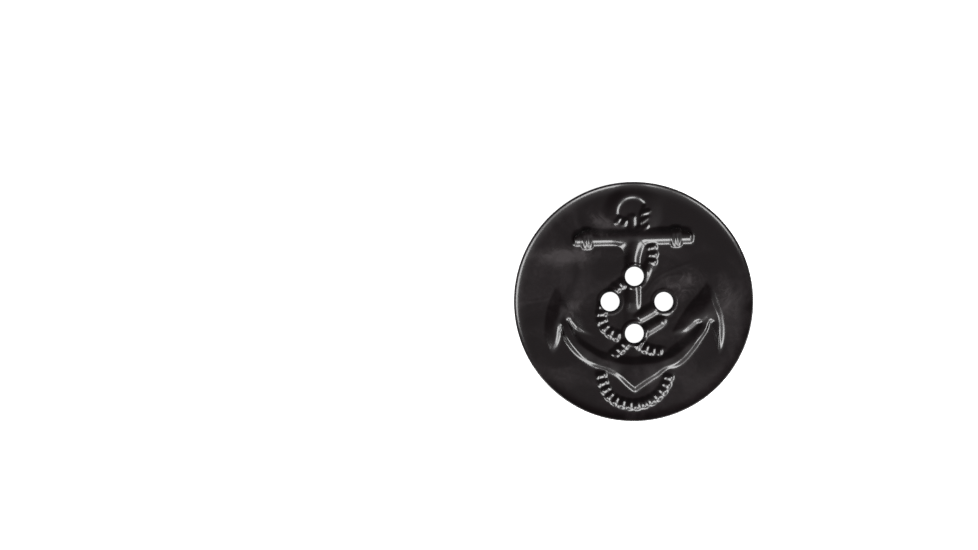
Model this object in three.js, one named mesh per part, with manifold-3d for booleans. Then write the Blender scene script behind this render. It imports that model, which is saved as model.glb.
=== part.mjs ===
// A compression-moulded four-hole coat button with a fouled-anchor relief, in millimetres.
// The back rests on z = 0, +Z comes out of the decorated face and +Y points to the anchor's ring.
import * as THREE from "three";
import { mergeVertices } from "three/addons/utils/BufferGeometryUtils.js";
import Module from "manifold-3d";

// Driving dimensions of the disc.
const diameter = 35; // 55 ligne, a front button of a heavy coat
const faceHeight = 3.2; // back to the sunk face
const rimHeight = 3.52; // back to the crest of the rim
const rimWidth = 1.84; // from the outer edge to where the face starts to curl up
const crestInset = 0.18; // from the outer edge to the crest
const sideTop = 3.28; // where the straight side wall ends under the crest
const backRound = 1.1; // rounding between the back and the side
const discSegments = 72;

// Driving dimensions of the thread holes.
const boreDiameter = 2.8;
const boreCentres = [
  [0.15, 3.7],
  [0.15, -4.65],
  [-3.4, 0],
  [4.45, 0],
];
const lipRadius = 1.7; // crest of the low lip round each hole
const lipThickness = 0.38;
const lipHeight = 0.09;
const boreSegments = 24;

// Heights of the relief over the sunk face.
const ringRise = 0.24;
const stockRise = 0.66;
const collarRise = 0.8;
const shankRise = 0.76;
const shankFootRise = 0.14;
const armRise = 0.6;
const flukeRidgeRise = 0.72;
const ropeRise = 0.48;
const rooted = 0.9; // how deep every raised shape runs into the disc

// Layout of the relief, seen from the front.
const ringCentre = [-0.12, 13.0];
const ringRadius = 2.8;
const ringThickness = 0.75;
const stockLeft = new THREE.Vector2(-9.0, 9.25);
const stockRight = new THREE.Vector2(8.8, 9.7);
const stockHalfWidth = 1.25;
const collarSpots = [-6.8, 6.2];
const collarHalfWidth = 1.45;
const ropeHalfWidth = 0.84;
const strandPitch = 1.06;
const strandLean = THREE.MathUtils.degToRad(80); // between a strand and the run of the rope

const discRadius = diameter / 2;
const rimStart = discRadius - rimWidth;
const crestRadius = discRadius - crestInset;

const wasm = await Module();
wasm.setup();

// A closed geometry as a manifold-3d solid.
function solidOf(geometry) {
  const bare = new THREE.BufferGeometry();
  bare.setAttribute("position", geometry.getAttribute("position"));
  bare.setIndex(geometry.getIndex());
  const merged = mergeVertices(bare, 1e-4);
  const mesh = new wasm.Mesh({
    numProp: 3,
    vertProperties: new Float32Array(merged.attributes.position.array),
    triVerts: new Uint32Array(merged.index.array),
  });
  return new wasm.Manifold(mesh);
}

// A manifold-3d solid as geometry for a THREE.Mesh.
function geometryOf(solid) {
  const mesh = solid.getMesh();
  const geometry = new THREE.BufferGeometry();
  geometry.setAttribute("position", new THREE.BufferAttribute(mesh.vertProperties, 3));
  geometry.setIndex(new THREE.BufferAttribute(mesh.triVerts, 1));
  geometry.computeVertexNormals();
  return geometry;
}

// Plain points as vectors.
function vectors(points) {
  return points.map(([x, y]) => new THREE.Vector2(x, y));
}

// An outline through plain points.
function outlineOf(points) {
  return new THREE.Shape(vectors(points));
}

// A smooth path on the sunk face through plain points.
function pathOf(points) {
  const onFace = points.map(([x, y]) => new THREE.Vector3(x, y, faceHeight));
  return new THREE.CatmullRomCurve3(onFace, false, "centripetal");
}

// The disc: flat back, rounded back edge, straight side, rounded rim and a face that curls up to it.
function disc() {
  const profile = [new THREE.Vector2(0, 0)];
  const backSteps = 4;
  for (let i = 0; i <= backSteps; i++) {
    const turn = (i / backSteps) * (Math.PI / 2);
    const r = discRadius - backRound + backRound * Math.sin(turn);
    profile.push(new THREE.Vector2(r, backRound - backRound * Math.cos(turn)));
  }
  profile.push(new THREE.Vector2(discRadius, sideTop));
  profile.push(new THREE.Vector2(discRadius - 0.05, sideTop + 0.17));
  profile.push(new THREE.Vector2(crestRadius, rimHeight));
  const curlSteps = 5;
  for (let i = curlSteps; i >= 0; i--) {
    const share = i / curlSteps;
    const r = rimStart + (crestRadius - 0.16 - rimStart) * share;
    profile.push(new THREE.Vector2(r, faceHeight + (rimHeight - 0.04 - faceHeight) * share ** 3));
  }
  profile.push(new THREE.Vector2(0, faceHeight));
  const geometry = new THREE.LatheGeometry(profile, discSegments);
  geometry.rotateX(Math.PI / 2);
  return solidOf(geometry);
}

// A raised shape with sloping walls: its foot is the outline, its flat top stands over the face.
function raised(outline, rise, slope = 0.35) {
  const wall = Math.min(rise, 0.45);
  const geometry = new THREE.ExtrudeGeometry(outline, {
    depth: rooted + rise - 2 * wall,
    bevelEnabled: true,
    bevelThickness: wall,
    bevelSize: slope,
    bevelOffset: -slope,
    bevelSegments: 2,
    curveSegments: 5,
  });
  geometry.translate(0, 0, faceHeight - rooted + wall);
  return solidOf(geometry);
}

// A half-round bar that lies on the face between two points.
function bar(from, to, halfWidth, rise) {
  const length = from.distanceTo(to);
  const geometry = new THREE.CylinderGeometry(1, 1, length, 16, 1);
  geometry.scale(halfWidth, 1, rise);
  geometry.rotateZ(to.clone().sub(from).angle() - Math.PI / 2);
  geometry.translate((from.x + to.x) / 2, (from.y + to.y) / 2, faceHeight);
  return solidOf(geometry);
}

// The ring that the rope is tied to.
function ring() {
  const [x, y] = ringCentre;
  const tube = new THREE.TorusGeometry(ringRadius, ringThickness, 8, 28);
  tube.scale(1, 1, ringRise / ringThickness);
  tube.translate(x, y, faceHeight);
  return solidOf(tube);
}

// The stock, a bar across the shank, with a ribbed collar near each end.
function stock() {
  let solid = bar(stockLeft, stockRight, stockHalfWidth, stockRise);
  const along = stockRight.clone().sub(stockLeft).normalize();
  for (const spot of collarSpots) {
    const middle = stockLeft.clone().addScaledVector(along, spot - stockLeft.x);
    for (const step of [-0.55, 0, 0.55]) {
      const from = middle.clone().addScaledVector(along, step - 0.2);
      const to = middle.clone().addScaledVector(along, step + 0.2);
      solid = solid.add(bar(from, to, collarHalfWidth, collarRise));
    }
  }
  return solid;
}

// The shank: a narrow eye end over the stock, a flared shoulder under it, and a low foot that
// runs from between the thread holes to the crown.
function shank() {
  const upper = outlineOf([
    [-0.85, 12.7],
    [-0.9, 10.4],
    [-3.0, 8.5],
    [-1.9, 7.8],
    [-1.4, 6.6],
    [-1.4, -0.7],
    [1.0, -0.7],
    [0.95, 6.4],
    [1.3, 7.3],
    [1.85, 8.6],
    [0.45, 10.4],
    [0.4, 12.7],
  ]);
  const foot = outlineOf([
    [-1.5, 0],
    [-1.9, -9],
    [1.3, -9],
    [1.1, 0],
  ]);
  return raised(upper, shankRise, 0.36).add(raised(foot, shankFootRise, 0.2));
}

// Both arms and the pointed crown in one crescent.
function arms() {
  const outline = new THREE.Shape();
  outline.moveTo(0.15, -13.3);
  outline.quadraticCurveTo(2.2, -11.6, 4.8, -10.2);
  outline.quadraticCurveTo(9.4, -8.0, 11.1, -3.1);
  outline.lineTo(9.9, -3.1);
  outline.quadraticCurveTo(7.2, -8.2, 0, -8.4);
  outline.quadraticCurveTo(-7.2, -8.2, -9.5, -3.1);
  outline.lineTo(-10.7, -3.1);
  outline.quadraticCurveTo(-9.2, -8.6, -3.7, -10.4);
  outline.quadraticCurveTo(-1.9, -11.2, 0.15, -13.3);
  return raised(outline, armRise, 0.4);
}

// A fluke: a spade outline under a roof of two slopes, given as heights across the button.
function fluke(edge, roofHeights) {
  const plate = raised(outlineOf(edge), flukeRidgeRise, 0.3);
  const across = roofHeights.map(([x]) => x);
  const roofLine = outlineOf([
    [Math.max(...across), -rooted - 0.5],
    [Math.min(...across), -rooted - 0.5],
    ...roofHeights,
  ]);
  const roofLength = 14;
  const roof = new THREE.ExtrudeGeometry(roofLine, { depth: roofLength, bevelEnabled: false });
  roof.rotateX(Math.PI / 2);
  roof.translate(0, roofLength / 2 - 2.5, faceHeight);
  return plate.intersect(solidOf(roof));
}

// The fluke at -X: its dark facet climbs steeply from the outer edge.
function leftFluke() {
  const edge = [
    [-10.75, 2.9],
    [-12.3, 0.1],
    [-13.0, -4.2],
    [-12.8, -6.0],
    [-11.9, -7.8],
    [-10.7, -5.6],
    [-10.3, -3.4],
    [-9.7, -2.8],
    [-8.5, -4.2],
    [-5.5, -5.1],
    [-7.4, -1.9],
  ];
  return fluke(edge, [
    [-13.3, 0.1],
    [-10.6, flukeRidgeRise],
    [-5, 0.36],
  ]);
}

// The fluke at +X: a long gentle facet climbs from the inner edge.
function rightFluke() {
  const edge = [
    [10.8, 3.0],
    [8.6, 0.1],
    [5.4, -4.9],
    [7.3, -4.7],
    [9.5, -3.3],
    [11.1, -3.1],
    [11.9, -6.2],
    [12.35, -7.8],
    [13.1, -6.6],
    [13.4, -4.4],
    [13.1, -2.0],
    [11.9, 1.6],
  ];
  return fluke(edge, [
    [5, 0.25],
    [10.8, flukeRidgeRise],
    [13.7, 0.6],
  ]);
}

// A plain rounded cord along a path on the face.
function cord(points, halfWidth, rise) {
  const path = pathOf(points);
  const section = new THREE.Shape();
  section.absellipse(0, 0, rise, halfWidth, 0, 2 * Math.PI);
  const steps = Math.max(2, Math.round(path.getLength() / (2 * strandPitch)));
  return solidOf(new THREE.ExtrudeGeometry(section, { extrudePath: path, steps, curveSegments: 4 }));
}

// A rope run: a cord with twisted strands laid over it, each strand a long bead that leans.
function rope(points) {
  const path = pathOf(points);
  let solid = cord(points, ropeHalfWidth * 0.8, ropeRise * 0.5);
  const strands = Math.round(path.getLength() / strandPitch);
  for (let i = 0; i < strands; i++) {
    const share = (i + 0.5) / strands;
    const spot = path.getPointAt(share);
    const run = path.getTangentAt(share);
    const bead = new THREE.SphereGeometry(1, 8, 4);
    bead.rotateX(Math.PI / 2);
    bead.scale(ropeHalfWidth * 1.06, strandPitch * 0.46, ropeRise);
    bead.rotateZ(Math.atan2(run.y, run.x) - strandLean);
    bead.translate(spot.x, spot.y, spot.z);
    solid = solid.add(solidOf(bead));
  }
  return solid;
}

// The runs of the rope whose strands show, from the ring down to the loop under the crown.
const ropeRuns = [
  // the hitch on the ring, left of the shank
  [
    [-2.8, 12.0],
    [-0.9, 11.3],
  ],
  // down the right of the shank to the stock
  [
    [2.05, 13.6],
    [1.6, 12.2],
    [1.75, 10.2],
  ],
  // from under the stock to the top hole
  [
    [2.6, 8.5],
    [2.8, 6.9],
    [2.55, 5.3],
  ],
  // from the shank round the left hole to the bottom hole
  [
    [-1.2, 2.9],
    [-3.0, 1.6],
    [-4.5, -0.8],
    [-4.6, -2.9],
    [-3.6, -4.4],
    [-1.9, -5.2],
  ],
  // the right end, under the bottom hole
  [
    [0.4, -6.1],
    [1.5, -6.7],
    [4.3, -7.35],
  ],
  // the left end, under the bottom hole
  [
    [-0.9, -5.9],
    [-1.9, -6.9],
    [-3.2, -8.1],
  ],
  // the loop under the crown
  [
    [-4.8, -10.2],
    [-4.4, -12.0],
    [-3.5, -13.7],
    [-2.0, -14.7],
    [0.1, -15.1],
    [2.0, -14.65],
    [3.5, -13.7],
    [4.6, -12.3],
    [5.2, -10.5],
  ],
];

// The runs that the mould shows smooth, without strands.
function smoothRuns() {
  const besideTopHole = [
    [2.4, 5.6],
    [1.6, 3.7],
  ];
  const fromRightHole = [
    [3.1, -0.95],
    [0.6, -2.35],
  ];
  const towardsBottomHole = [
    [4.05, -2.8],
    [1.5, -4.4],
  ];
  const underRightHole = [
    [3.3, -1.25],
    [5.1, -1.45],
  ];
  return [
    cord(besideTopHole, ropeHalfWidth, 0.28),
    cord(fromRightHole, 0.95, 0.46),
    cord(towardsBottomHole, 0.92, 0.44),
    cord(underRightHole, 0.7, 0.2),
  ];
}

// The low lip round one thread hole.
function lip([x, y]) {
  const geometry = new THREE.TorusGeometry(lipRadius, lipThickness, 6, boreSegments);
  geometry.scale(1, 1, lipHeight / lipThickness);
  geometry.translate(x, y, faceHeight);
  return solidOf(geometry);
}

// The drill that clears one thread hole, through lip, rope and shank alike.
function drill([x, y]) {
  const depth = rimHeight + 3;
  const geometry = new THREE.CylinderGeometry(boreDiameter / 2, boreDiameter / 2, depth, boreSegments);
  geometry.rotateX(Math.PI / 2);
  geometry.translate(x, y, rimHeight / 2);
  return solidOf(geometry);
}

// The whole moulding, drilled.
function buttonSolid() {
  let solid = disc();
  const anchor = [ring(), stock(), shank(), arms(), leftFluke(), rightFluke()];
  for (const shape of [...anchor, ...ropeRuns.map(rope), ...smoothRuns(), ...boreCentres.map(lip)]) {
    solid = solid.add(shape);
  }
  for (const centre of boreCentres) {
    solid = solid.subtract(drill(centre));
  }
  return solid;
}

const mouldedPlastic = new THREE.MeshStandardMaterial({ color: 0x0c0b0b, roughness: 0.3, metalness: 0 });
const moulding = new THREE.Mesh(geometryOf(buttonSolid()), mouldedPlastic);
moulding.name = "button_moulding";

const button = new THREE.Group();
button.name = "sew_on_button";
button.add(moulding);

export default button;
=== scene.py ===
# %% [markdown]
# # A moulded coat button with an anchor in relief
# The CAD model gives the button its real size: a disc with a flat back, a thin raised rim, a sunk face
# and four thread holes. It rests with its back on z = 0 and shows its face to +Z, with the anchor's
# ring at +Y. This lesson makes the fine surface of the same moulding in Blender and gives it its
# finish.

# %% Load the frame
import math

import bpy
import numpy as np
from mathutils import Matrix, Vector
from mathutils.geometry import delaunay_2d_cdt


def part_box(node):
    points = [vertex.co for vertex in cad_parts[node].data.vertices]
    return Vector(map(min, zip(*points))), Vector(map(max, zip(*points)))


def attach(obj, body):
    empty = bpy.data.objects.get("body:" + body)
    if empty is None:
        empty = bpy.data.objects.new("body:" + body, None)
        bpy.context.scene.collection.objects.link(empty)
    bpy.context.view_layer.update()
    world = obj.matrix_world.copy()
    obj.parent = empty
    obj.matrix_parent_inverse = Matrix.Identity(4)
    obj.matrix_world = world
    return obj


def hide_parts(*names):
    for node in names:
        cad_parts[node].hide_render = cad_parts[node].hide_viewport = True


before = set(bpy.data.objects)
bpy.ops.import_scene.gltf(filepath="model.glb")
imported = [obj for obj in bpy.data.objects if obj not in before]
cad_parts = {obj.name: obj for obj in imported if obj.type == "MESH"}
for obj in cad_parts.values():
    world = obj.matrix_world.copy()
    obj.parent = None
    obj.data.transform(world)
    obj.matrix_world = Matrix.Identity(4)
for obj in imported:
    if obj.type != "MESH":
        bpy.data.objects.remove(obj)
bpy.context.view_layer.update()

MM = 0.001
NODE = "button_moulding"
low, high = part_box(NODE)
RADIUS = (high.x - low.x) / 2 / MM
TOP = high.z / MM
print(f"disc radius {RADIUS:.2f} mm, {TOP:.2f} mm thick over the relief")

# %% [markdown]
# ## Working sizes
# Lengths below are in millimetres, which suits a button better than metres. They hang on the disc's
# radius and on its thickness, both read from the CAD box, so the looks can't drift away from the part.

# %% Sizes of the disc and its holes
FACE = TOP - 0.8
# the rim: its crest, the width and end slope of the curl up to it, and the rounding of the crest
CREST_RADIUS = RADIUS - 0.18
CURL_WIDTH = 1.5
CURL_SLOPE = 0.55
CREST_ROUND = 0.16
BACK_ROUND = 1.1
HOLE_RADIUS = 1.4
HOLES = [(0.15, 3.7), (0.15, -4.65), (-3.4, 0.0), (4.45, 0.0)]
HOLE_EDGE = 0.2
# the low lip round each hole: how far out it reaches, how far it takes to fall, and its height
LIP_WIDTH = 0.7
LIP_FALL = 0.32
LIP_RISE = 0.08
# how far tumbling rounds an edge, and the spacing of the points
TUMBLE = 0.13
FINE_STEP = 0.1
COARSE_EVERY = 3
RIM_POINTS = 720
HOLE_POINTS = 96
print(f"face {FACE:.2f} mm over the back, rim crest at {CREST_RADIUS:.2f} mm, holes {2 * HOLE_RADIUS} mm")


# %% [markdown]
# ## Small tools for a relief
# A die sinker thinks of a relief as heights over a flat face. Each raised shape is a height that
# depends on how far inside its outline a point lies. That gives every wall a rounded top edge and a
# filleted foot, which is what draws the paired bright lines on glossy plastic. Sculpting by hand would
# be quicker to start with, but heights worked out from outlines stay sharp, repeat exactly and are
# easy to correct.

# %% Curves, distances and walls
def smooth(t):
    """0 to 1 with level ends."""
    t = np.clip(t, 0.0, 1.0)
    return t * t * (3.0 - 2.0 * t)


def spline(points, per_span):
    """A smooth open curve through given points."""
    p = np.array(points, float)
    last = len(p) - 1
    out = []
    for i in range(last):
        a, b, c, d = p[max(i - 1, 0)], p[i], p[i + 1], p[min(i + 2, last)]
        for t in np.arange(per_span) / per_span:
            bend = (2 * a - 5 * b + 4 * c - d) * t**2
            twist = (3 * b - 3 * c + d - a) * t**3
            out.append(0.5 * (2 * b + (c - a) * t + bend + twist))
    out.append(p[-1])
    return np.array(out)


def follow(curve, x, y):
    """For each point: distance to the curve, signed offset to its left, and distance run along it."""
    best = np.full(x.shape, 1e9)
    offset = np.zeros(x.shape)
    run = np.zeros(x.shape)
    start = 0.0
    for (ax, ay), (bx, by) in zip(curve[:-1], curve[1:]):
        ex, ey = bx - ax, by - ay
        span = math.hypot(ex, ey)
        t = np.clip(((x - ax) * ex + (y - ay) * ey) / span**2, 0, 1)
        dx, dy = x - ax - t * ex, y - ay - t * ey
        d = np.hypot(dx, dy)
        nearer = d < best
        best = np.where(nearer, d, best)
        offset = np.where(nearer, np.sign(ex * dy - ey * dx) * d, offset)
        run = np.where(nearer, start + t * span, run)
        start += span
    return best, offset, run


def inside(outline, x, y):
    """Whether each point lies inside a closed outline."""
    loop = np.vstack([outline, outline[:1]])
    within = np.zeros(x.shape, bool)
    for (ax, ay), (bx, by) in zip(loop[:-1], loop[1:]):
        if ay != by:
            crosses = (ay > y) != (by > y)
            within ^= crosses & (x < ax + (y - ay) * (bx - ax) / (by - ay))
    return within


def join(a, b, soft=0.15):
    """The higher of two reliefs, with a small fillet where they meet."""
    gap = np.clip(1 - np.abs(a - b) / soft, 0, 1)
    both = np.clip(np.minimum(a, b) / soft, 0, 1)
    return np.maximum(a, b) + soft / 4 * gap**2 * both


# %% [markdown]
# ## The anchor's ring, stock and shank
# The ring is a low step, steep on its inner side and falling gently away outside it. The stock is a
# round bar with a lashed collar near each end, tilted a little as the real die has it. The shank is a
# round ridge that bends out at a shoulder under the stock. Each could be a modelled bar joined on, but
# one field of heights gives them the soft fillets of a moulding where they meet.

# %% Ring, stock and shank
RING_CENTRE = (-0.12, 13.0)
RING_RADIUS = 2.45
STOCK = ((-9.0, 9.25), (8.8, 9.7))
STOCK_HALF_WIDTH = 1.3
STOCK_RISE = 0.64
COLLARS = (-6.8, 6.2)
COLLAR_RISE = 0.78
COLLAR_HALF_LENGTH = 0.9
RING_RISE = 0.25
RING_STEEP = 0.62
RING_GENTLE = 2.1


def ridge(t, rise):
    """Height of a round ridge, t from -1 at one foot to 1 at the other, with filleted feet."""
    return rise * np.clip(1 - np.abs(t) ** 2.4, 0, 1) ** 1.6


def ring_relief(x, y):
    """The anchor's ring."""
    r = np.hypot(x - RING_CENTRE[0], y - RING_CENTRE[1])
    climb = smooth((r - RING_RADIUS + 0.55) / RING_STEEP)
    return RING_RISE * climb * smooth((RING_RADIUS + RING_GENTLE - r) / RING_GENTLE)


def stock_relief(x, y):
    """The bar, whose far edge tapers at both ends, and the turns of cord lashed round its collars."""
    (ax, ay), (bx, by) = STOCK
    length = math.hypot(bx - ax, by - ay)
    ux, uy = (bx - ax) / length, (by - ay) / length
    run = (x - ax) * ux + (y - ay) * uy
    off = (y - ay) * ux - (x - ax) * uy
    taper = 0.5 + 2.0 * smooth(off / 1.2)
    ends = smooth(run / taper) * smooth((length - run) / taper)
    bar = ridge(off / STOCK_HALF_WIDTH, STOCK_RISE) * ends
    collars = np.zeros(x.shape)
    for spot in COLLARS:
        u = (run - (spot - ax)) / COLLAR_HALF_LENGTH
        v = off / np.where(off > 0, 1.45, 1.75)
        ball = np.clip(1 - u**6 - np.abs(v) ** 2.4, 0, 1) ** 0.8
        turns = np.abs(np.sin(1.5 * math.pi * (u + 0.15 * v) + math.pi / 2))
        depth = 0.4 * smooth((0.35 - v) / 0.6)
        collars = np.maximum(collars, ball * (COLLAR_RISE - depth * (1 - turns)))
    return join(bar, collars, 0.06)


# the shank from foot to head: places along it, its half-width on the right and its rise at each
SHANK_STATIONS = [-9.0, -6.0, -2.6, -1.6, -0.2, 1.5, 5.0, 6.4, 7.3, 7.9, 8.6, 9.6, 10.5, 12.9]
SHANK_RIGHT = [1.3, 1.2, 1.15, 1.1, 1.1, 1.1, 0.95, 1.05, 1.35, 1.6, 1.95, 1.5, 0.48, 0.42]
SHANK_RISES = [0.1, 0.12, 0.14, 0.2, 0.54, 0.62, 0.7, 0.74, 0.76, 0.76, 0.76, 0.74, 0.3, 0.26]
# centre and radius of the curve by which the shank's left wall runs into the stock
SHOULDER = (-2.95, 6.6, 1.95)
# centre and depth of the worn spot on that shoulder
SHOULDER_WEAR = (-1.6, 8.1, 0.24)


def shank_relief(x, y):
    """The shank, wide under the stock and narrow above it."""
    right = np.interp(y, SHANK_STATIONS, SHANK_RIGHT)
    rise = np.interp(y, SHANK_STATIONS, SHANK_RISES)
    crest = -0.22 + 0.3 * smooth((3 - y) / 2)
    cx, cy, radius = SHOULDER
    wall = cx + np.sqrt(radius**2 - np.clip(y - cy, 0, radius) ** 2)
    narrow = np.interp(y, [9.6, 10.5], [-9.0, -0.95])
    left = np.maximum(crest - (crest - wall) / 0.7, narrow)
    t = np.where(x > crest, (x - crest) / (right - crest), (x - crest) / (crest - left))
    ends = smooth((12.9 - y) / 0.5) * smooth((y + 10.2) / 1.5)
    wear_x, wear_y, wear = SHOULDER_WEAR
    rise = rise - wear * np.exp(-((x - wear_x) ** 2) - (y - wear_y) ** 2)
    return ridge(t, 1.0) * rise * ends


# %% [markdown]
# ## Arms, crown and flukes
# Both arms and the pointed crown are one crescent. Each fluke is a spade with a crease from its point
# down to the arm, so one side of it catches the light and the other stays dark. The outlines are
# curves through listed points, because no circle or ellipse has this swing.

# %% Arms, crown and flukes
ARMS_OUTER_LEFT = [
    (-11.2, -1.6), (-10.55, -4.0), (-10.35, -5.3), (-9.8, -6.4), (-9.0, -7.45), (-8.0, -8.45), (-6.8, -9.35),
    (-5.2, -10.05), (-3.7, -10.55), (-2.2, -11.5), (-1.1, -12.5), (0.15, -13.5),
]
ARMS_OUTER_RIGHT = [
    (0.15, -13.5), (1.1, -12.8), (2.2, -12.05), (3.6, -11.2), (4.8, -10.3), (6.4, -9.7), (7.5, -8.95),
    (8.5, -7.95), (9.4, -6.75), (10.2, -5.5), (10.8, -4.3), (11.15, -3.0), (11.3, -1.6),
]
ARMS_INNER = [
    (9.9, -1.6), (9.7, -2.8), (8.8, -3.9), (7.4, -5.0), (6.0, -6.1), (4.4, -7.1), (2.4, -7.5), (0.0, -7.7),
    (-2.4, -7.5), (-4.4, -7.2), (-6.0, -6.4), (-7.4, -5.4), (-8.6, -4.2), (-9.5, -2.7), (-9.6, -1.6),
]
LEFT_FLUKE = [
    [(-10.75, 3.0), (-11.6, 1.7), (-12.3, 0.1), (-12.85, -2.0), (-13.05, -4.2), (-12.8, -6.0), (-11.9, -7.9)],
    [(-11.9, -7.9), (-11.1, -6.9), (-10.6, -5.6), (-10.3, -3.4)],
    [(-10.3, -3.4), (-9.75, -2.75)],
    [(-9.75, -2.75), (-9.2, -3.55), (-8.5, -4.25), (-7.2, -4.75), (-5.3, -5.15)],
    [(-5.3, -5.15), (-6.4, -3.4), (-7.4, -1.8), (-8.6, -0.3), (-9.8, 1.4), (-10.75, 3.0)],
]
RIGHT_FLUKE = [
    [(10.8, 3.1), (9.8, 1.6), (8.6, 0.2), (7.3, -1.5), (6.2, -3.2), (5.2, -5.0)],
    [(5.2, -5.0), (7.3, -4.75), (8.5, -4.1), (9.5, -3.3), (10.3, -3.1)],
    [(10.3, -3.1), (11.1, -3.1)],
    [(11.1, -3.1), (11.5, -4.6), (11.95, -6.2), (12.35, -7.9)],
    [(12.35, -7.9), (13.15, -6.6), (13.45, -4.4), (13.2, -2.0), (12.6, -0.2), (11.9, 1.7), (10.8, 3.1)],
]
# points of each fluke's crease, with the height of the facets there
LEFT_CREASE = [
    (-11.7, -7.8, 0.4), (-11.1, -6.0, 0.42), (-10.55, -4.0, 0.5), (-10.55, -2.0, 0.7), (-10.6, 0.0, 0.6),
    (-10.7, 1.7, 0.32), (-10.75, 3.0, 0.04),
]
RIGHT_CREASE = [(12.3, -7.8, 0.45), (10.7, -3.6, 0.74), (10.85, 3.0, 0.66)]
ARM_RISE = 0.6
ARM_WALL = 1.02
# width of the arms' back slope: places from left to right, and the width at each
ARM_BACK_SLOPES = ([-6.0, -2.0], [1.3, 1.9])
# width of the wall on each stretch of a fluke's outline, the first one being the outline's dark side
LEFT_WALLS = [0.35, 1.2, 1.1, 0.97, 2.2]
RIGHT_WALLS = [0.35, 1.25, 1.1, 1.0, 1.3]
# centre and depth of the places where the die is worn and the wall is lower
SAGS = [
    (-9.9, -2.2, 0.15), (-8.0, -7.8, 0.1), (-6.9, -8.8, 0.26), (-5.9, -9.5, 0.1), (-4.7, -10.0, 0.16),
    (-2.6, -10.8, 0.26), (3.2, -11.2, 0.16), (5.4, -9.4, 0.21), (8.6, -7.6, 0.14), (9.9, -5.0, 0.17),
    (7.2, -4.3, 0.2), (8.9, -3.5, 0.24), (9.8, -3.0, 0.12), (11.4, -3.0, 0.28),
]
SAG_REACH = 1.1
print(f"{len(SAGS)} worn places on the head, arms {ARM_RISE} mm high with walls {ARM_WALL} mm wide")


# %% Heights of the head
def stitched(parts):
    """One closed outline out of smooth stretches that meet at corners."""
    return np.vstack([spline(part, 6)[:-1] for part in parts])


def merged(a, b):
    """How far up its walls a point lies in either of two shapes, smoothly where they overlap."""
    return a + b + np.hypot(a, b)


def arms_depth(x, y):
    """How far up the arms' walls a point lies: 0 at the foot, 1 at the top."""
    outer = np.vstack([spline(ARMS_OUTER_LEFT, 6)[:-1], spline(ARMS_OUTER_RIGHT, 6)])
    inner = spline(ARMS_INNER, 6)
    within = inside(np.vstack([outer, inner]), x, y)
    back = np.interp(x, *ARM_BACK_SLOPES)
    up = np.minimum(follow(outer, x, y)[0] / ARM_WALL, follow(inner, x, y)[0] / back)
    up = up / (1 - 0.5 * smooth((y + 6) / 2.5))
    return np.where(within, up, -up)


def fluke_depth(parts, walls, x, y):
    """How far up the walls of a fluke a point lies."""
    within = inside(stitched(parts), x, y)
    up = follow(spline(parts[0], 6), x, y)[0] / walls[0]
    for part, wall in zip(parts[1:], walls[1:]):
        up = np.minimum(up, follow(spline(part, 6), x, y)[0] / wall)
    return np.where(within, up, -up)


def fluke_roof(border, slope, bow, crease, fall, x, y):
    """Height of a fluke's two facets: one climbs from its left border, one falls away from the crease."""
    heights = [p[1] for p in crease]
    side = x - np.interp(y, heights, [p[0] for p in crease])
    rise = np.interp(y, heights, [p[2] for p in crease])
    run = follow(spline(border, 6), x, y)[0]
    climb = slope * run * (1 + bow * np.clip(1 - run / 2.8, 0, 1))
    drop = rise - fall * np.maximum(side, 0)
    gap = climb - drop
    return (climb + drop - np.sqrt(gap**2 + 0.05**2)) / 2


def head_relief(x, y):
    """Arms and flukes together, so that no wall shows where an arm runs into its fluke."""
    arms = arms_depth(x, y)
    up = arms
    roof = ARM_RISE + 0.04 * smooth((y + 7.5) / 4)
    for parts, walls, crease, slope, bow, fall in (
        (LEFT_FLUKE, LEFT_WALLS, LEFT_CREASE, 0.38, 0.0, 0.06),
        (RIGHT_FLUKE, RIGHT_WALLS, RIGHT_CREASE, 0.28, 0.7, 0.04),
    ):
        fluke = fluke_depth(parts, walls, x, y)
        share = smooth((fluke - np.maximum(arms, 0)) * 2 + 0.5) * (fluke > -0.2)
        facets = fluke_roof(parts[0], slope, bow, crease, fall, x, y)
        roof = roof + (facets - roof) * share
        up = merged(up, fluke)
    for sag_x, sag_y, sag in SAGS:
        roof = roof - sag * np.exp(-(((x - sag_x) / SAG_REACH) ** 2) - ((y - sag_y) / SAG_REACH) ** 2)
    return roof * smooth(up)


# %% [markdown]
# ## The fouled rope
# The rope runs from the ring behind the stock, round the shank and the thread holes, and loops under
# the crown. Its lay is a row of leaning beads: the height rises and falls along the run, and the
# groove between two strands leans with the distance from the middle of the rope, as a real strand's
# does. Curve objects with an array of strands would tear at the holes, so the rope stays part of the
# relief.

# %% The rope
ROPE_HALF_WIDTH = 0.84
ROPE_RISE = 0.46
STRAND_PITCH = 1.06
STRAND_DEPTH = 0.62
ROPE_REACH = 0.3
ROPE_END = 0.5
# lean of the strands, then the run
ROPE_RUNS = [
    (-0.1, [(-2.8, 12.0), (-2.1, 11.7), (-0.9, 11.3)]),
    (0.45, [(2.05, 13.6), (1.6, 12.2), (1.75, 10.2)]),
    (0.06, [(2.6, 8.55), (2.8, 6.9), (2.55, 5.3)]),
    (0.04, [(-1.2, 2.9), (-3.0, 1.6), (-4.5, -0.8), (-4.6, -2.9), (-3.6, -4.4), (-1.9, -5.2)]),
    (0.04, [(0.4, -6.1), (1.5, -6.7), (2.9, -7.2), (4.3, -7.35)]),
    (0.06, [(-0.9, -5.9), (-1.9, -6.9), (-3.2, -8.1)]),
    (
        0.04,
        [
            (-4.8, -10.2), (-4.4, -12.0), (-3.5, -13.7), (-2.0, -14.7), (0.1, -15.1), (2.0, -14.65),
            (3.5, -13.7), (4.6, -12.3), (5.2, -10.5),
        ],
    ),
]
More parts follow.
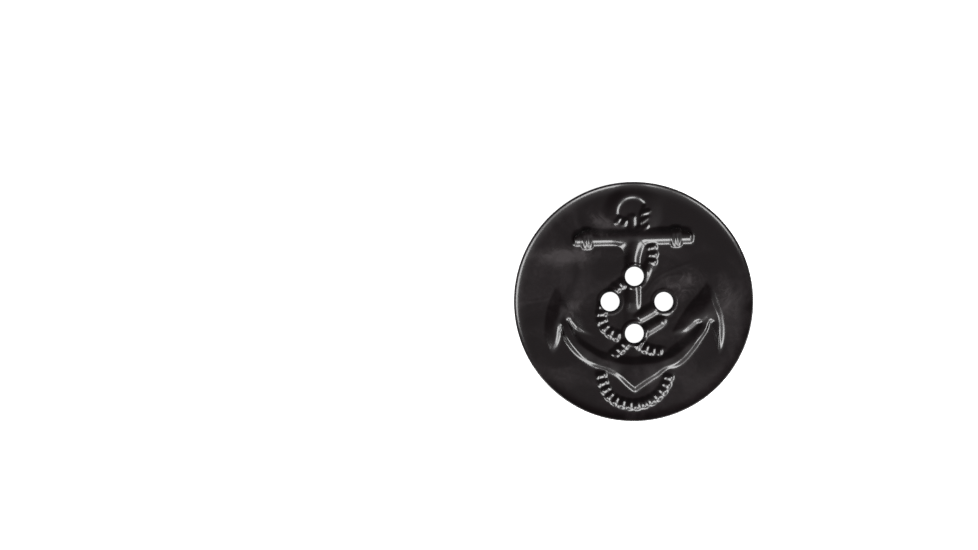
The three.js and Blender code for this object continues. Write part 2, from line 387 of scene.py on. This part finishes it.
# half-width and rise of the ridge, then the run
WORN_ROPE_RUNS = [
    (0.84, 0.28, [(2.4, 5.6), (1.95, 4.6), (1.6, 3.7)]),
    (1.05, 0.48, [(3.1, -0.95), (2.2, -1.5), (0.6, -2.35)]),
    (1.0, 0.46, [(4.05, -2.8), (3.1, -3.4), (1.5, -4.4)]),
    (0.75, 0.2, [(3.3, -1.25), (4.4, -1.45), (5.1, -1.45)]),
]
print(f"{len(ROPE_RUNS)} laid runs and {len(WORN_ROPE_RUNS)} worn ones")


# %% Heights of the rope
def run_length(curve):
    """Length of a run of rope."""
    return float(np.hypot(*np.diff(curve, axis=0).T).sum())


def run_ends(run, length):
    """1 along a run of rope and falling to 0 a little past its ends."""
    return smooth((run + ROPE_REACH) / ROPE_END) * smooth((length - run + ROPE_REACH) / ROPE_END)


def worn_relief(half_width, rise, points, x, y):
    """A run whose strands are worn away in the die, so that a plain round ridge is left."""
    curve = spline(points, 8)
    distance, _, run = follow(curve, x, y)
    return ridge(distance / half_width, rise) * run_ends(run, run_length(curve))


def rope_relief(points, lean, x, y):
    """A run of laid rope, with a whole number of strands."""
    curve = spline(points, 12)
    length = run_length(curve)
    distance, offset, run = follow(curve, x, y)
    t = np.clip(offset / ROPE_HALF_WIDTH, -1, 1)
    body = (1 - np.abs(t) ** 3) ** 1.1
    strands = max(1, round(length / STRAND_PITCH))
    phase = run / length * strands + lean * t
    bead = (0.5 - 0.5 * np.cos(2 * math.pi * phase)) ** 0.75
    rise = ROPE_RISE * (1 - STRAND_DEPTH + STRAND_DEPTH * bead)
    return np.where(distance < ROPE_HALF_WIDTH, rise * body * run_ends(run, length), 0.0)


# %% [markdown]
# ## The face that carries it
# The face lies level and curls up to a thin rim. Slow cooling leaves it a little wavy, which shows
# only in what it mirrors. Each thread hole has a low lip and a rounded edge.

# %% Face and rim
RIM_START = CREST_RADIUS - CREST_ROUND - CURL_WIDTH


def face_level(r):
    """Height of the plain face and rim at a distance from the middle."""
    t = np.clip((r - RIM_START) / CURL_WIDTH, 0, 1)
    curl = CURL_SLOPE * CURL_WIDTH * t**3 / 3
    over = np.clip((r - CREST_RADIUS + CREST_ROUND) / CREST_ROUND, 0, 1)
    return FACE + curl + CURL_SLOPE * CREST_ROUND * (over - over**2 / 2)


def wave(x, y):
    """The slow waviness that cooling leaves in the face."""
    w = 0.012 * np.sin(0.42 * x + 0.7) * np.cos(0.37 * y - 0.5)
    w += 0.008 * np.sin(0.61 * x - 0.35 * y + 2.1)
    return w + 0.005 * np.cos(0.9 * y + 0.3 * x)


print(f"rim rises {float(face_level(np.array(CREST_RADIUS))) - FACE:.2f} mm over the face")

# %% [markdown]
# ## Flow marks with painted sheen, and knit lines
# Plastic that flows into a mould leaves dull clouds where it slowed and hair-fine lines where two
# tongues of it met. The clouds change the finish, and their placed patches also paint paler and darker
# patches of reflection into the colour, as painted sheen. They are stored as a number at each point of
# the mesh. The lines stand up from the face, so they belong to the relief.

# %% Flow marks with painted sheen, and knit lines
FLOW_BASE = 0.16
# centre, half-lengths, turn in degrees, strength; a positive strength makes the skin duller and paints
# a paler patch of reflection, a negative one paints a darker patch
FLOW_AND_SHEEN_MARKS = [
    (-9.5, 6.6, 3.4, 1.0, 5, 0.9),
    (-4.6, 11.6, 1.8, 1.0, -20, 0.55),
    (7.2, 2.6, 3.4, 1.8, 30, 0.6),
    (13.4, 0.8, 1.5, 3.0, 0, 0.35),
    (-4.6, 10.2, 1.3, 0.7, 0, 0.5),
    (-3.6, -8.8, 1.2, 1.2, 0, 0.3),
    (-13.0, -9.0, 2.2, 4.0, 30, 0.15),
    (9.5, 9.5, 3.5, 5.0, 35, -0.45),
    (1.0, 15.0, 6.5, 1.2, 0, -0.25),
    (-9.0, -1.2, 1.6, 1.6, 0, 0.35),
    (0.0, -7.5, 3.0, 1.6, 0, -0.35),
]


def flow_and_sheen(x, y):
    """Where the skin is dull and painted paler (towards 1) or clear (towards 0): how the plastic flowed, and
    placed patches of painted sheen.
    """
    total = np.full(x.shape, FLOW_BASE)
    for cx, cy, long, wide, turn, strength in FLOW_AND_SHEEN_MARKS:
        a = math.radians(turn)
        u = ((x - cx) * math.cos(a) + (y - cy) * math.sin(a)) / long
        v = ((y - cy) * math.cos(a) - (x - cx) * math.sin(a)) / wide
        total += strength * np.exp(-(u**2) - v**2)
    return np.clip(total, 0, 1)


KNIT_LINES = [
    [(1.6, 1.2), (2.9, 3.0), (4.8, 4.3), (8.2, 5.6)],
    [(3.1, 2.4), (4.6, 3.5), (6.6, 3.9), (9.0, 3.6)],
    [(-16.5, -0.1), (-14.0, 0.2), (-12.4, 0.6)],
    [(-9.9, 1.5), (-8.3, -0.9), (-6.5, -3.2)],
    [(-10.0, 0.8), (-8.6, -1.3), (-7.0, -3.4)],
]


def knit_relief(x, y):
    """Hair-fine ridges where two flows of plastic met."""
    h = np.zeros(x.shape)
    for points in KNIT_LINES:
        h = np.maximum(h, 0.02 * np.exp(-((follow(spline(points, 8), x, y)[0] / 0.16) ** 2)))
    return h


print(f"{len(FLOW_AND_SHEEN_MARKS)} flow marks, {len(KNIT_LINES)} knit lines")


# %% [markdown]
# ## All the heights together
# The raised shapes are joined one after another, each with its own fillet. Tumbling in a drum rounds
# every edge of a real moulding; a soft average over the finished heights does the same here, and more
# evenly than a bevel.

# %% Join and tumble the relief
def relief(x, y):
    """Height over the face of everything raised on it."""
    h = join(ring_relief(x, y), knit_relief(x, y))
    for lean, points in ROPE_RUNS:
        h = join(h, rope_relief(points, lean, x, y), 0.08)
    for half_width, rise, points in WORN_ROPE_RUNS:
        h = join(h, worn_relief(half_width, rise, points, x, y), 0.08)
    h = join(h, stock_relief(x, y), 0.3)
    h = join(h, head_relief(x, y))
    return join(h, shank_relief(x, y), 0.4)


def tumbled(field, radius):
    """Rounds every edge of a gridded relief as tumbling does, by a soft average."""
    reach = math.ceil(3 * radius / FINE_STEP)
    shifts = range(-reach, reach + 1)
    weights = np.array([math.exp(-0.5 * (k * FINE_STEP / radius) ** 2) for k in shifts])
    weights /= weights.sum()
    for direction in (0, 1):
        field = sum(w * np.roll(field, k, direction) for w, k in zip(weights, shifts))
    return field


def read_between(field, x, y):
    """Height of a gridded relief between its points, by a cubic that keeps slopes smooth."""
    u, v = (x - gx[0, 0]) / FINE_STEP, (y - gy[0, 0]) / FINE_STEP
    i, j = np.floor(u).astype(int), np.floor(v).astype(int)

    def taps(t):
        return (
            0.5 * (-t + 2 * t**2 - t**3),
            0.5 * (2 - 5 * t**2 + 3 * t**3),
            0.5 * (t + 4 * t**2 - 3 * t**3),
            0.5 * (t**3 - t**2),
        )

    total = 0
    for row, wy in enumerate(taps(v - j)):
        for column, wx in enumerate(taps(u - i)):
            rows = np.clip(j + row - 1, 0, field.shape[0] - 1)
            columns = np.clip(i + column - 1, 0, field.shape[1] - 1)
            total = total + wy * wx * field[rows, columns]
    return total


# %% Finished height of the face
def surface(x, y):
    """Height of the finished face, in millimetres over the back."""
    z = face_level(np.hypot(x, y)) + wave(x, y) * smooth((RADIUS - 1.5 - np.hypot(x, y)) / 2)
    z = z + read_between(height, x, y)
    for hx, hy in HOLES:
        r = np.hypot(x - hx, y - hy) - HOLE_RADIUS
        z = z + LIP_RISE * smooth((LIP_WIDTH - r) / LIP_FALL)
        edge = np.clip(HOLE_EDGE - r, 0, HOLE_EDGE)
        z = z - (HOLE_EDGE - np.sqrt(HOLE_EDGE**2 - edge**2))
    return z


# %% [markdown]
# ## Points and triangles
# A regular grid fine enough for the rope would waste triangles on the plain face. So a fine grid is
# worked out once, and away from the relief only every third point is kept. Rings of points follow the
# rim and the holes, so their edges come out truly round. A constrained triangulation then joins
# everything into one skin.

# %% Lay out the points of the face
def circle(cx, cy, r, count):
    """Evenly spaced points round a centre."""
    a = np.arange(count) * 2 * math.pi / count
    return np.stack([cx + r * np.cos(a), cy + r * np.sin(a)], 1)


half_grid = math.ceil(RADIUS / FINE_STEP)
axis = np.arange(-half_grid, half_grid + 1)
ix, iy = np.meshgrid(axis, axis)
gx, gy = ix * FINE_STEP, iy * FINE_STEP
from_centre = np.hypot(gx, gy)
height = tumbled(relief(gx, gy), TUMBLE)
raised = height > 0.002
busy = raised.copy()
for down in (-2, 0, 2):
    for across in (-2, 0, 2):
        busy |= np.roll(raised, (down, across), (0, 1))
coarse = (ix % COARSE_EVERY == 0) & (iy % COARSE_EVERY == 0)
keep = (busy | coarse) & (from_centre < RIM_START - 0.1)
# rings round each hole, close together where its edge is rounded
hole_rings = [0, 0.006, 0.025, 0.06, 0.12, 0.2, 0.26, 0.32, 0.42, 0.5, 0.58, 0.66, 0.74]
for hx, hy in HOLES:
    keep &= np.hypot(gx - hx, gy - hy) > HOLE_RADIUS + hole_rings[-1] + 0.06
plane = [circle(hx, hy, HOLE_RADIUS, HOLE_POINTS) for hx, hy in HOLES]
plane.append(circle(0, 0, CREST_RADIUS, RIM_POINTS))
loops = [len(p) for p in plane]
for hx, hy in HOLES:
    plane += [circle(hx, hy, HOLE_RADIUS + r, HOLE_POINTS) for r in hole_rings[1:]]
for r in np.arange(RIM_START, CREST_RADIUS - 0.03, 0.1):
    plane.append(circle(0, 0, r, RIM_POINTS if r > RIM_START + 0.5 else RIM_POINTS // 2))
plane.append(np.stack([gx[keep], gy[keep]], 1))
plane = np.vstack(plane)
print(f"{len(plane)} points on the face, {keep.sum()} of them on the grid")


# %% Triangulate the face
def triangulate(points, loop_sizes):
    """Triangles between the last loop, the outer one, and the holes in it."""
    edges = []
    first = 0
    for size in loop_sizes:
        edges += [(first + i, first + (i + 1) % size) for i in range(size)]
        first += size
    made = delaunay_2d_cdt([Vector(p) for p in points], edges, [], 0, 1e-7, False)
    verts = np.array([tuple(v) for v in made[0]])
    faces = np.array(made[2])
    middle = verts[faces].mean(axis=1)
    wanted = np.hypot(*middle.T) < RADIUS
    for hx, hy in HOLES:
        wanted &= np.hypot(middle[:, 0] - hx, middle[:, 1] - hy) > HOLE_RADIUS * 0.999
    if len(verts) != len(points):
        raise ValueError("two points of the face coincide")
    return faces[wanted]


face_triangles = triangulate(plane, loops)
face_heights = surface(plane[:, 0], plane[:, 1])
print(f"{len(face_triangles)} triangles, heights {face_heights.min():.2f} to {face_heights.max():.2f} mm")

# %% [markdown]
# ## Side, back and drilled walls
# The side and the rounded back edge are rings of points below the rim. The back is flat. Each hole's
# wall runs straight down from the face's edge, whatever the height of the relief there, so it cuts the
# shank and the rope as the drill does. All of it shares its edge points with the face, which keeps the
# moulding watertight.

# %% Start the skin with the face
vertices = [np.column_stack([plane, face_heights])]
polygons = [tuple(int(i) for i in t) for t in face_triangles]
middles = plane[face_triangles].mean(axis=1)
near_hole = np.zeros(len(face_triangles), bool)
for hx, hy in HOLES:
    near_hole |= np.hypot(middles[:, 0] - hx, middles[:, 1] - hy) < HOLE_RADIUS + HOLE_EDGE + 0.05
polygon_kind = near_hole.astype(int).tolist()
count = len(plane)
first_of_loop = np.cumsum([0] + loops)


def add_ring(xy, z):
    """Adds a ring of points and returns the number of its first one."""
    global count
    vertices.append(np.column_stack([xy, np.broadcast_to(z, len(xy))]))
    count += len(xy)
    return count - len(xy)


def bridge(upper, lower, size, kind, inward=False):
    """Joins two rings of the same size with quads that face out."""
    for i in range(size):
        j = (i + 1) % size
        quad = (upper + j, upper + i, lower + i, lower + j)
        polygons.append(quad[::-1] if inward else quad)
        polygon_kind.append(kind)


# %% Side and back edge
crest_height = float(face_level(np.array(CREST_RADIUS)))
shoulder = RADIUS - CREST_RADIUS
side_profile = []
for turn in np.linspace(0, math.pi / 2, 8)[1:]:
    r = CREST_RADIUS + shoulder * math.sin(turn)
    side_profile.append((r, crest_height - 1.3 * shoulder * (1 - math.cos(turn))))
for z in np.linspace(side_profile[-1][1], BACK_ROUND, 7)[1:]:
    side_profile.append((RADIUS, float(z)))
for turn in np.linspace(0, math.pi / 2, 9)[1:]:
    r = RADIUS - BACK_ROUND * (1 - math.cos(turn))
    side_profile.append((r, BACK_ROUND * (1 - math.sin(turn))))
previous = int(first_of_loop[len(HOLES)])
for r, z in side_profile:
    ring = add_ring(circle(0, 0, r, RIM_POINTS), z)
    bridge(previous, ring, RIM_POINTS, 0)
    previous = ring
back_outer = previous
print(f"{len(side_profile)} rings down the side, rim crest {crest_height:.2f} mm over the back")

# %% Drilled walls
hole_bottoms = []
for number, (hx, hy) in enumerate(HOLES):
    top = int(first_of_loop[number])
    wall_top = face_heights[top : top + HOLE_POINTS]
    previous = top
    for share in (0.97, 0.9, 0.75, 0.5, 0.25, 0.04, 0.0):
        ring = add_ring(circle(hx, hy, HOLE_RADIUS, HOLE_POINTS), wall_top * share)
        bridge(previous, ring, HOLE_POINTS, 1, inward=True)
        previous = ring
    hole_bottoms.append(previous)
    print(f"bore at {hx}, {hy}: {wall_top.min():.2f} to {wall_top.max():.2f} mm long")

# %% Flat back
back_plane = [circle(hx, hy, HOLE_RADIUS, HOLE_POINTS) for hx, hy in HOLES]
back_plane.append(circle(0, 0, RADIUS - BACK_ROUND, RIM_POINTS))
back_grid = np.array([(x, y) for x in np.arange(-16, 17, 1.0) for y in np.arange(-16, 17, 1.0)])
clear = np.hypot(*back_grid.T) < RADIUS - BACK_ROUND - 0.5
for hx, hy in HOLES:
    clear &= np.hypot(back_grid[:, 0] - hx, back_grid[:, 1] - hy) > HOLE_RADIUS + 0.3
back_plane.append(back_grid[clear])
back_points = np.vstack(back_plane)
grid_start = add_ring(back_grid[clear], 0.0)
real_number = []
for start in hole_bottoms:
    real_number += range(start, start + HOLE_POINTS)
real_number += range(back_outer, back_outer + RIM_POINTS)
real_number += range(grid_start, grid_start + int(clear.sum()))
for triangle in triangulate(back_points, loops):
    polygons.append(tuple(real_number[int(i)] for i in triangle[::-1]))
    polygon_kind.append(2)
print(f"{polygon_kind.count(2)} triangles on the back")

# %% Make the mesh
mesh = bpy.data.meshes.new("moulded_button")
mesh.from_pydata((np.vstack(vertices) * MM).tolist(), [], polygons)
mesh.polygons.foreach_set("material_index", polygon_kind)
mesh.polygons.foreach_set("use_smooth", [True] * len(polygons))
mesh.update()
# the flow mask at each point, which also carries the placed patches of painted sheen
skin = mesh.attributes.new("flow_and_sheen", "FLOAT", "POINT")
spots = np.vstack(vertices)
skin.data.foreach_set("value", flow_and_sheen(spots[:, 0], spots[:, 1]))
button = bpy.data.objects.new("moulded_button", mesh)
bpy.context.scene.collection.objects.link(button)
print(f"{len(mesh.polygons)} faces, {sum(len(p.vertices) - 2 for p in mesh.polygons)} triangles")


# %% [markdown]
# ## Finish
# The plastic is a warm black with a moulded gloss. Its faint cloudiness is partly flow: where softened
# plastic slowed in the mould, the skin is a little duller. It is partly painted sheen: the same mask
# paints the colour paler or darker in placed patches, where the wavy face would mirror more or less
# light. The cloud mask and the fine pitting of a used mould are node groups, because the face and the
# back share them. An image texture would blur when seen close.

# %% Node groups for the plastic
def new_group(name, inputs, outputs):
    """An empty shader group with named sockets; each input is a name and a default."""
    group = bpy.data.node_groups.new(name, "ShaderNodeTree")
    for socket, default in inputs:
        made = group.interface.new_socket(socket, in_out="INPUT", socket_type="NodeSocketFloat")
        made.default_value = default
    for socket, kind in outputs:
        group.interface.new_socket(socket, in_out="OUTPUT", socket_type=kind)
    return group, group.nodes.new("NodeGroupInput"), group.nodes.new("NodeGroupOutput")


def noise(group, source, scale, detail, distortion=0.0):
    """Noise whose scale is a number or comes from another socket."""
    node = group.nodes.new("ShaderNodeTexNoise")
    node.inputs["Detail"].default_value = detail
    node.inputs["Distortion"].default_value = distortion
    if isinstance(scale, float):
        node.inputs["Scale"].default_value = scale
    else:
        group.links.new(scale, node.inputs["Scale"])
    group.links.new(source, node.inputs["Vector"])
    return node.outputs["Fac"]


def stretched(group, value, low_edge, high_edge, low_value, high_value):
    """A value carried smoothly from one range to another."""
    node = group.nodes.new("ShaderNodeMapRange")
    node.interpolation_type = "SMOOTHSTEP"
    for socket, number in (
        ("From Min", low_edge),
        ("From Max", high_edge),
        ("To Min", low_value),
        ("To Max", high_value),
    ):
        node.inputs[socket].default_value = number
    group.links.new(value, node.inputs["Value"])
    return node.outputs["Result"]


def combined(group, operation, a, b):
    """Two numbers or sockets added or multiplied."""
    node = group.nodes.new("ShaderNodeMath")
    node.operation = operation
    for socket, value in zip(node.inputs, (a, b)):
        if isinstance(value, float):
            socket.default_value = value
        else:
            group.links.new(value, socket)
    return node.outputs[0]


def flow_and_sheen_clouds():
    """Soft clouds drawn out by flow, with the placed patches of painted sheen: 0 where the skin is clear, 1
    where it is dull and painted paler.
    """
    group, given, result = new_group("flow_and_sheen_clouds", [("Scale", 110.0)], [("Cloud", "NodeSocketFloat")])
    where = group.nodes.new("ShaderNodeTexCoord").outputs["Object"]
    mark = group.nodes.new("ShaderNodeAttribute")
    mark.attribute_name = "flow_and_sheen"
    broad = noise(group, where, given.outputs["Scale"], 3.0, 1.2)
    fine = noise(group, where, 520.0, 5.0, 2.5)
    cloud = stretched(group, broad, 0.3, 0.7, -0.22, 0.22)
    streak = stretched(group, fine, 0.35, 0.75, 0.7, 1.3)
    marked = combined(group, "MULTIPLY", mark.outputs["Fac"], streak)
    total = combined(group, "ADD", marked, cloud)
    group.links.new(stretched(group, total, 0.0, 1.0, 0.0, 1.0), result.inputs["Cloud"])
    return group


def mould_grain():
    """The fine unevenness of a used mould: tiny pits and rises, and rare deeper specks. Depth in microns."""
    group, given, result = new_group("mould_grain", [("Depth", 1.0)], [("Height", "NodeSocketFloat")])
    where = group.nodes.new("ShaderNodeTexCoord").outputs["Object"]
    skin = noise(group, where, 1500.0, 3.0)
    specks = stretched(group, noise(group, where, 3200.0, 1.0), 0.68, 0.78, 0.0, -0.6)
    total = combined(group, "ADD", skin, specks)
    group.links.new(combined(group, "MULTIPLY", total, given.outputs["Depth"]), result.inputs["Height"])
    return group


FLOW_AND_SHEEN_CLOUDS = flow_and_sheen_clouds()
GRAIN = mould_grain()
print("node groups:", [g.name for g in bpy.data.node_groups])


# %% [markdown]
# ## Three finishes on one moulding
# The face and the side are glossy. The walls of the holes are drilled after moulding, so they are matt
# and show faint turning lines. The back is satin, rubbed against cloth. Clouds change the roughness, and
# in the colour they paint paler and darker patches of sheen.

# %% Materials
def new_material(name):
    """An empty material, with its nodes and links."""
    material = bpy.data.materials.new(name)
    material.use_nodes = True
    return material, material.node_tree.nodes, material.node_tree.links


def used(material, group, **values):
    """The output of a node group placed in a material with its own values."""
    node = material.node_tree.nodes.new("ShaderNodeGroup")
    node.node_tree = group
    for socket, value in values.items():
        node.inputs[socket].default_value = value
    return node.outputs[0]


def blended(material, mask, plain, other):
    """A colour between two, by a mask."""
    node = material.node_tree.nodes.new("ShaderNodeMix")
    node.data_type = "RGBA"
    material.node_tree.links.new(mask, node.inputs["Factor"])
    node.inputs["A"].default_value = (*plain, 1)
    node.inputs["B"].default_value = (*other, 1)
    return node.outputs["Result"]


def bumped(material, height, distance):
    """A normal that follows small heights."""
    node = material.node_tree.nodes.new("ShaderNodeBump")
    node.inputs["Distance"].default_value = distance
    material.node_tree.links.new(height, node.inputs["Height"])
    return node.outputs["Normal"]


# the plastic's own black, and the paler colour that the cloud mask blends in: duller skin and painted sheen
BLACK = (0.0019, 0.0006, 0.0009)
DULL_BLACK_AND_SHEEN = (0.02, 0.0162, 0.0172)


MICRON = 0.000001


def plastic(name, gloss, dull, grain_depth):
    """The black plastic: its roughness where it is clear and where it is dull, and its grain in microns."""
    material, nodes, links = new_material(name)
    bsdf = nodes["Principled BSDF"]
    cloud = used(material, FLOW_AND_SHEEN_CLOUDS, Scale=110.0)
    # the cloud mask paints the colour paler in patches, partly duller skin and partly painted sheen
    links.new(blended(material, cloud, BLACK, DULL_BLACK_AND_SHEEN), bsdf.inputs["Base Color"])
    rough = stretched(material.node_tree, cloud, 0.0, 1.0, gloss, dull)
    links.new(rough, bsdf.inputs["Roughness"])
    grain = used(material, GRAIN, Depth=grain_depth)
    links.new(bumped(material, grain, MICRON), bsdf.inputs["Normal"])
    return material


def moulded_gloss():
    """The face, the rim and the side."""
    return plastic("moulded_gloss", 0.215, 0.38, 3.5)


def satin_back():
    """The flat back."""
    return plastic("satin_back", 0.38, 0.5, 8.0)


def drilled_wall():
    """Turning lines left by the drill, as fine waves along the hole."""
    material, nodes, links = new_material("drilled_wall")
    bsdf = nodes["Principled BSDF"]
    bsdf.inputs["Base Color"].default_value = (0.0015, 0.001, 0.0012, 1)
    bsdf.inputs["Specular IOR Level"].default_value = 0.15
    where = nodes.new("ShaderNodeTexCoord").outputs["Object"]
    lines = nodes.new("ShaderNodeTexWave")
    lines.bands_direction = "Z"
    lines.inputs["Scale"].default_value = 1600.0
    lines.inputs["Distortion"].default_value = 1.5
    links.new(where, lines.inputs["Vector"])
    links.new(bumped(material, lines.outputs["Fac"], 20 * MICRON), bsdf.inputs["Normal"])
    rough = stretched(material.node_tree, lines.outputs["Fac"], 0.0, 1.0, 0.5, 0.65)
    links.new(rough, bsdf.inputs["Roughness"])
    return material


# in the order of the skin's kinds: 0 face and side, 1 bores and their edges, 2 back
for maker in (moulded_gloss, drilled_wall, satin_back):
    mesh.materials.append(maker())
print("materials:", [m.name for m in mesh.materials])

# %% Tell the frame what the piece is
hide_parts(NODE)
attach(button, "root")
print(button.name, "stands for", NODE)

# %% [markdown]
# ## Stage, light and camera
# Black gloss has almost no colour of its own: it is drawn by what it mirrors. The room is dim
# overhead, so the level face stays dark grey, and soft boxes stand low around the near side, so that
# only walls which lean towards them light up. The floor glows and the camera sees a white room, so the
# ground comes out plain white.

# %% Floor
FLOOR_SIZE = 3.0
FLOOR_GAP = 0.00002


def stage_floor():
    """A pale floor that gives off its own light, just under the button."""
    bpy.ops.mesh.primitive_plane_add(size=FLOOR_SIZE, location=(0, 0, -FLOOR_GAP))
    floor = bpy.context.object
    floor.name = "pale_floor"
    material, nodes, links = new_material("pale_floor")
    bsdf = nodes["Principled BSDF"]
    bsdf.inputs["Base Color"].default_value = (0.9, 0.9, 0.9, 1)
    bsdf.inputs["Roughness"].default_value = 0.6
    bsdf.inputs["Emission Color"].default_value = (1, 1, 1, 1)
    bsdf.inputs["Emission Strength"].default_value = 1.0
    floor.data.materials.append(material)
    print("floor", FLOOR_SIZE, "m across")


stage_floor()

# %% Soft boxes
BOX_ELEVATION = 34
BOX_DISTANCE = 0.6
BOX_DEPTH = 0.25
# name, azimuth in degrees, width in metres, brightness
BOXES = [
    ("near_box", 282, 0.34, 15),
    ("left_box", 229, 0.26, 15),
    ("right_box", 349, 0.34, 14),
    ("fill_box", 315, 0.28, 3.5),
]


def soft_box(name, azimuth, width, brightness):
    """A soft box that aims at the button. Its strength is given as the brightness that it shows."""
    light = bpy.data.lights.new(name, "AREA")
    light.shape = "RECTANGLE"
    light.size = width
    light.size_y = BOX_DEPTH
    light.energy = brightness * math.pi * width * BOX_DEPTH
    box = bpy.data.objects.new(name, light)
    a, e = math.radians(azimuth), math.radians(BOX_ELEVATION)
    place = Vector((math.cos(a) * math.cos(e), math.sin(a) * math.cos(e), math.sin(e))) * BOX_DISTANCE
    box.location = place
    box.rotation_euler = (-place).to_track_quat("-Z", "Y").to_euler()
    bpy.context.scene.collection.objects.link(box)
    print(f"{name}: {light.energy:.1f} W")


# %% Room
# brightness of what the button mirrors, from the near side of the room (0) to its far side (1)
ROOM_BRIGHTNESS = [(0.0, 1.0), (0.35, 0.62), (0.5, 0.27), (0.65, 0.1), (1.0, 0.1)]
ROOM_FAR_SIDE = (-0.45, 0.89, 0)


def room():
    """A room that fades to dim towards its far side, and that the camera sees as white."""
    world = bpy.data.worlds.new("room")
    bpy.context.scene.world = world
    world.use_nodes = True
    nodes, links = world.node_tree.nodes, world.node_tree.links
    nodes.clear()
    where = nodes.new("ShaderNodeTexCoord")
    away = nodes.new("ShaderNodeVectorMath")
    away.operation = "DOT_PRODUCT"
    away.inputs[1].default_value = ROOM_FAR_SIDE
    ramp = nodes.new("ShaderNodeValToRGB")
    spread = nodes.new("ShaderNodeMapRange")
    dim = nodes.new("ShaderNodeBackground")
    white = nodes.new("ShaderNodeBackground")
    path = nodes.new("ShaderNodeLightPath")
    mix = nodes.new("ShaderNodeMixShader")
    out = nodes.new("ShaderNodeOutputWorld")
    links.new(where.outputs["Generated"], away.inputs[0])
    links.new(away.outputs["Value"], spread.inputs["Value"])
    spread.inputs["From Min"].default_value = -1
    links.new(spread.outputs["Result"], ramp.inputs["Fac"])
    stops = ramp.color_ramp.elements
    for stop, (position, level) in zip((stops[0], stops[1]), (ROOM_BRIGHTNESS[0], ROOM_BRIGHTNESS[-1])):
        stop.position = position
        stop.color = (level, level, level, 1)
    for position, level in ROOM_BRIGHTNESS[1:-1]:
        stops.new(position).color = (level, level, level, 1)
    links.new(ramp.outputs["Color"], dim.inputs["Color"])
    links.new(path.outputs["Is Camera Ray"], mix.inputs["Fac"])
    links.new(dim.outputs[0], mix.inputs[1])
    links.new(white.outputs[0], mix.inputs[2])
    white.inputs["Color"].default_value = (1, 1, 1, 1)
    links.new(mix.outputs[0], out.inputs["Surface"])


# %% Camera
# width of the view and the camera's place from the button's middle, all counted in button widths
VIEW_WIDTH = 4.0787 * 2 * RADIUS
CENTRE_OFFSET = (-0.6032 * 2 * RADIUS, 0.1112 * 2 * RADIUS)
LENS = 200.0
SENSOR = 36.0


def camera():
    """A camera that looks straight down from far off, through a long lens."""
    data = bpy.data.cameras.new("camera")
    data.lens = LENS
    data.sensor_width = SENSOR
    data.clip_end = 10
    view = bpy.data.objects.new("camera", data)
    distance = VIEW_WIDTH * LENS / SENSOR
    view.location = Vector((CENTRE_OFFSET[0], CENTRE_OFFSET[1], FACE + distance)) * MM
    bpy.context.scene.collection.objects.link(view)
    bpy.context.scene.camera = view


room()
for box in BOXES:
    soft_box(*box)
camera()
bpy.context.scene.view_settings.view_transform = "Standard"
print(f"view {VIEW_WIDTH:.1f} mm wide")
